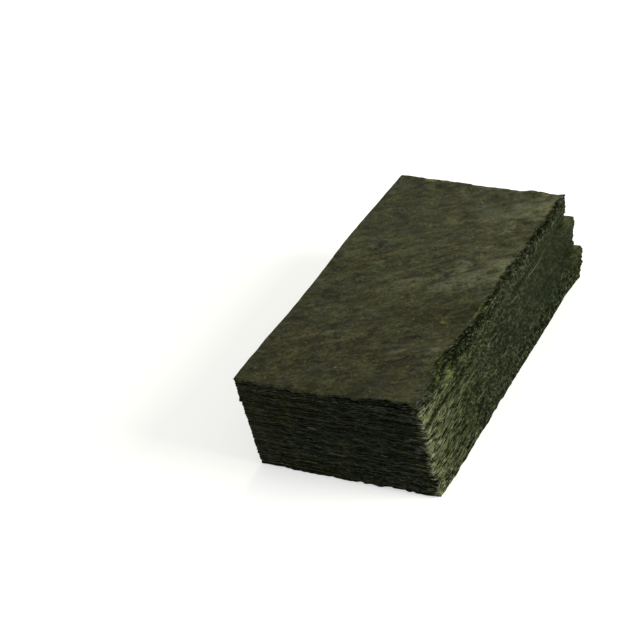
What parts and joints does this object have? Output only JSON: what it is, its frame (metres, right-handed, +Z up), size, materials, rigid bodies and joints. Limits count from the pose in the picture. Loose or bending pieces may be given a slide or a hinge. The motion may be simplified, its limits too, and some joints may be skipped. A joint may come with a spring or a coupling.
{
  "type": "stack of half-cut roasted nori sheets",
  "caption": "Squared-up oblong stack of thin, crisp, dark green roasted seaweed sheets cut in half, its bundles lying slightly askew on each other.",
  "frame": {"origin": "middle of the footprint, on the surface that the stack stands on", "axes": "+Z up through the stack, +Y along the long side of the sheets towards the back, +X across them towards the natural ragged side; the knife-cut side faces -X"},
  "size_m": [0.1124, 0.1936, 0.0574],
  "materials": {
    "roasted_nori": "dull to satin, mottled dark olive green with fine pressed grain and paler yellow-green flecks and edges"
  },
  "bodies": {
    "root": {"lower_pair_01": "roasted_nori", "lower_pair_02": "roasted_nori", "lower_pair_03": "roasted_nori", "lower_pair_04": "roasted_nori", "lower_pair_05": "roasted_nori", "lower_pair_06": "roasted_nori", "lower_pair_07": "roasted_nori", "lower_pair_08": "roasted_nori", "lower_pair_09": "roasted_nori", "lower_pair_10": "roasted_nori", "lower_pair_11": "roasted_nori", "lower_pair_12": "roasted_nori", "lower_pair_13": "roasted_nori", "lower_pair_14": "roasted_nori", "lower_pair_15": "roasted_nori", "lower_pair_16": "roasted_nori", "lower_pair_17": "roasted_nori", "lower_pair_18": "roasted_nori", "lower_pair_19": "roasted_nori", "lower_pair_20": "roasted_nori", "middle_pair_01": "roasted_nori", "middle_pair_02": "roasted_nori", "middle_pair_03": "roasted_nori", "middle_pair_04": "roasted_nori", "middle_pair_05": "roasted_nori", "middle_pair_06": "roasted_nori", "middle_pair_07": "roasted_nori", "middle_pair_08": "roasted_nori", "middle_pair_09": "roasted_nori", "middle_pair_10": "roasted_nori", "middle_pair_11": "roasted_nori", "middle_pair_12": "roasted_nori", "middle_pair_13": "roasted_nori", "middle_pair_14": "roasted_nori", "middle_pair_15": "roasted_nori", "middle_pair_16": "roasted_nori", "middle_pair_17": "roasted_nori", "upper_pair_01": "roasted_nori", "upper_pair_02": "roasted_nori", "upper_pair_03": "roasted_nori", "upper_pair_04": "roasted_nori", "upper_pair_05": "roasted_nori", "upper_pair_06": "roasted_nori", "upper_pair_07": "roasted_nori", "upper_pair_08": "roasted_nori", "upper_pair_09": "roasted_nori", "upper_pair_10": "roasted_nori", "upper_pair_11": "roasted_nori", "upper_pair_12": "roasted_nori", "upper_pair_13": "roasted_nori"}
  },
  "joints": []
}
